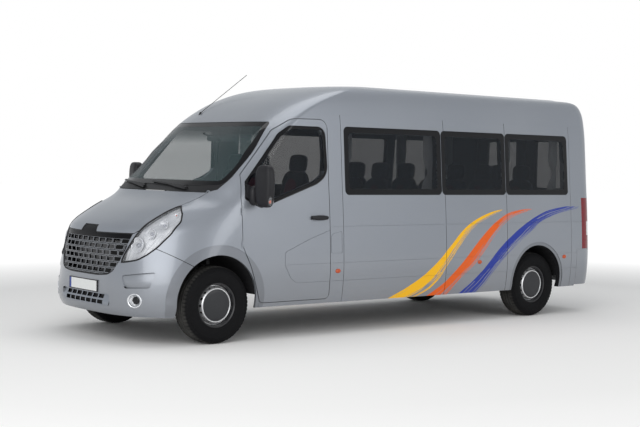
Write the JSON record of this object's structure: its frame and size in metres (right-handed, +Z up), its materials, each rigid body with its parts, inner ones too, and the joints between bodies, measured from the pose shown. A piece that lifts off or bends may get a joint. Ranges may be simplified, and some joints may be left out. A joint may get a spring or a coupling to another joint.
{
  "type": "minibus",
  "caption": "Long high-roof silver minibus with hinged bonnet, cab doors and rear doors, steered front wheels, side windows, seats and curtains.",
  "frame": {"origin": "on the ground under the middle of the vehicle", "axes": "+Z up, the vehicle faces -Y, its left side is +X"},
  "size_m": [2.47, 6.203, 2.5968],
  "materials": {
    "body_panel": "silver metallic paint",
    "window_glass": "tinted",
    "lamp_lens": "clear",
    "tail_lens": "gloss",
    "black_plastic": "grained",
    "trim_plastic": "grained",
    "chassis_paint": "matt",
    "cast_metal": "rough",
    "seat_cloth": "woven",
    "curtain_cloth": "woven",
    "plate_white": "gloss",
    "tyre_rubber": "matt",
    "wheel_steel": "satin"
  },
  "bodies": {
    "body": {"roof": "body_panel", "windscreen": "window_glass", "side_left": "body_panel", "side_right": "body_panel", "sliding_door": "body_panel", "saloon_windows": "window_glass", "tail_lamps": "tail_lens", "grille": "black_plastic", "front_lamps": "lamp_lens", "front_bumper": "body_panel", "front_wings": "body_panel", "scuttle": "black_plastic", "rear_bumper": "body_panel", "floor_pan": "chassis_paint", "chassis_frame": "chassis_paint", "engine_block": "cast_metal", "front_axle": "chassis_paint", "rear_axle": "chassis_paint", "arch_liners": "black_plastic", "exhaust": "cast_metal", "fuel_tank": "chassis_paint", "dashboard": "trim_plastic", "cab_seats": "seat_cloth", "saloon_seats": "seat_cloth", "curtains": "curtain_cloth", "front_carrier": "chassis_paint", "antenna": "black_plastic", "front_plate": "plate_white"},
    "bonnet": {"bonnet": "body_panel"},
    "cab_door_left": {"cab_door_left": "body_panel", "cab_glass_left": "window_glass", "mirror_left": "black_plastic"},
    "cab_door_right": {"cab_door_right": "body_panel", "cab_glass_right": "window_glass", "mirror_right": "black_plastic"},
    "rear_door_left": {"rear_door_left": "body_panel", "rear_glass_left": "window_glass", "rear_plate": "plate_white"},
    "rear_door_right": {"rear_door_right": "body_panel", "rear_glass_right": "window_glass"},
    "steering_wheel": {"steering_wheel": "black_plastic"},
    "knuckle_left": {"knuckle_left": "cast_metal"},
    "knuckle_right": {"knuckle_right": "cast_metal"},
    "wheel_front_left": {"tyre_front_left": "tyre_rubber", "rim_front_left": "wheel_steel"},
    "wheel_front_right": {"tyre_front_right": "tyre_rubber", "rim_front_right": "wheel_steel"},
    "wheel_rear_left": {"tyre_rear_left": "tyre_rubber", "rim_rear_left": "wheel_steel"},
    "wheel_rear_right": {"tyre_rear_right": "tyre_rubber", "rim_rear_right": "wheel_steel"}
  },
  "joints": [
    {"name": "bonnet_lift", "type": "hinge", "parent": "body", "child": "bonnet", "pos_m": [0, -2.25, 1.397], "axis": [-1, 0, 0], "range_deg": [0, 50]},
    {"name": "cab_door_left_swing", "type": "hinge", "parent": "body", "child": "cab_door_left", "pos_m": [1.0295, -2.027, 1], "axis": [0.0539, 0, -0.9985], "range_deg": [0, 70]},
    {"name": "cab_door_right_swing", "type": "hinge", "parent": "body", "child": "cab_door_right", "pos_m": [-1.0295, -2.027, 1], "axis": [0.0539, 0, 0.9985], "range_deg": [0, 70]},
    {"name": "rear_door_left_swing", "type": "hinge", "parent": "body", "child": "rear_door_left", "pos_m": [0.815, 3.045, 1.4], "axis": [0, 0, -1], "range_deg": [0, 180]},
    {"name": "rear_door_right_swing", "type": "hinge", "parent": "body", "child": "rear_door_right", "pos_m": [-0.815, 3.045, 1.4], "axis": [0, 0, 1], "range_deg": [0, 180]},
    {"name": "steer_left", "type": "hinge", "parent": "body", "child": "knuckle_left", "pos_m": [0.79, -2.257, 0.356], "axis": [0, 0, 1], "range_deg": [-35, 35]},
    {"name": "steer_right", "type": "hinge", "parent": "body", "child": "knuckle_right", "pos_m": [-0.79, -2.257, 0.356], "axis": [0, 0, 1], "range_deg": [-35, 35]},
    {"name": "steering_wheel_turn", "type": "hinge", "parent": "body", "child": "steering_wheel", "pos_m": [0.43, -1.545, 1.185], "axis": [0, 0.8, 0.6], "range_deg": [-525, 525]},
    {"name": "wheel_front_left_spin", "type": "hinge", "parent": "knuckle_left", "child": "wheel_front_left", "pos_m": [0.875, -2.257, 0.356], "axis": [1, 0, 0], "continuous": true},
    {"name": "wheel_front_right_spin", "type": "hinge", "parent": "knuckle_right", "child": "wheel_front_right", "pos_m": [-0.875, -2.257, 0.356], "axis": [1, 0, 0], "continuous": true},
    {"name": "wheel_rear_left_spin", "type": "hinge", "parent": "body", "child": "wheel_rear_left", "pos_m": [0.865, 2.075, 0.356], "axis": [1, 0, 0], "continuous": true},
    {"name": "wheel_rear_right_spin", "type": "hinge", "parent": "body", "child": "wheel_rear_right", "pos_m": [-0.865, 2.075, 0.356], "axis": [1, 0, 0], "continuous": true}
  ],
  "couplings": [
    {"joint": "steer_right", "follows": "steer_left", "ratio": 1},
    {"joint": "steering_wheel_turn", "follows": "steer_left", "ratio": 15}
  ]
}
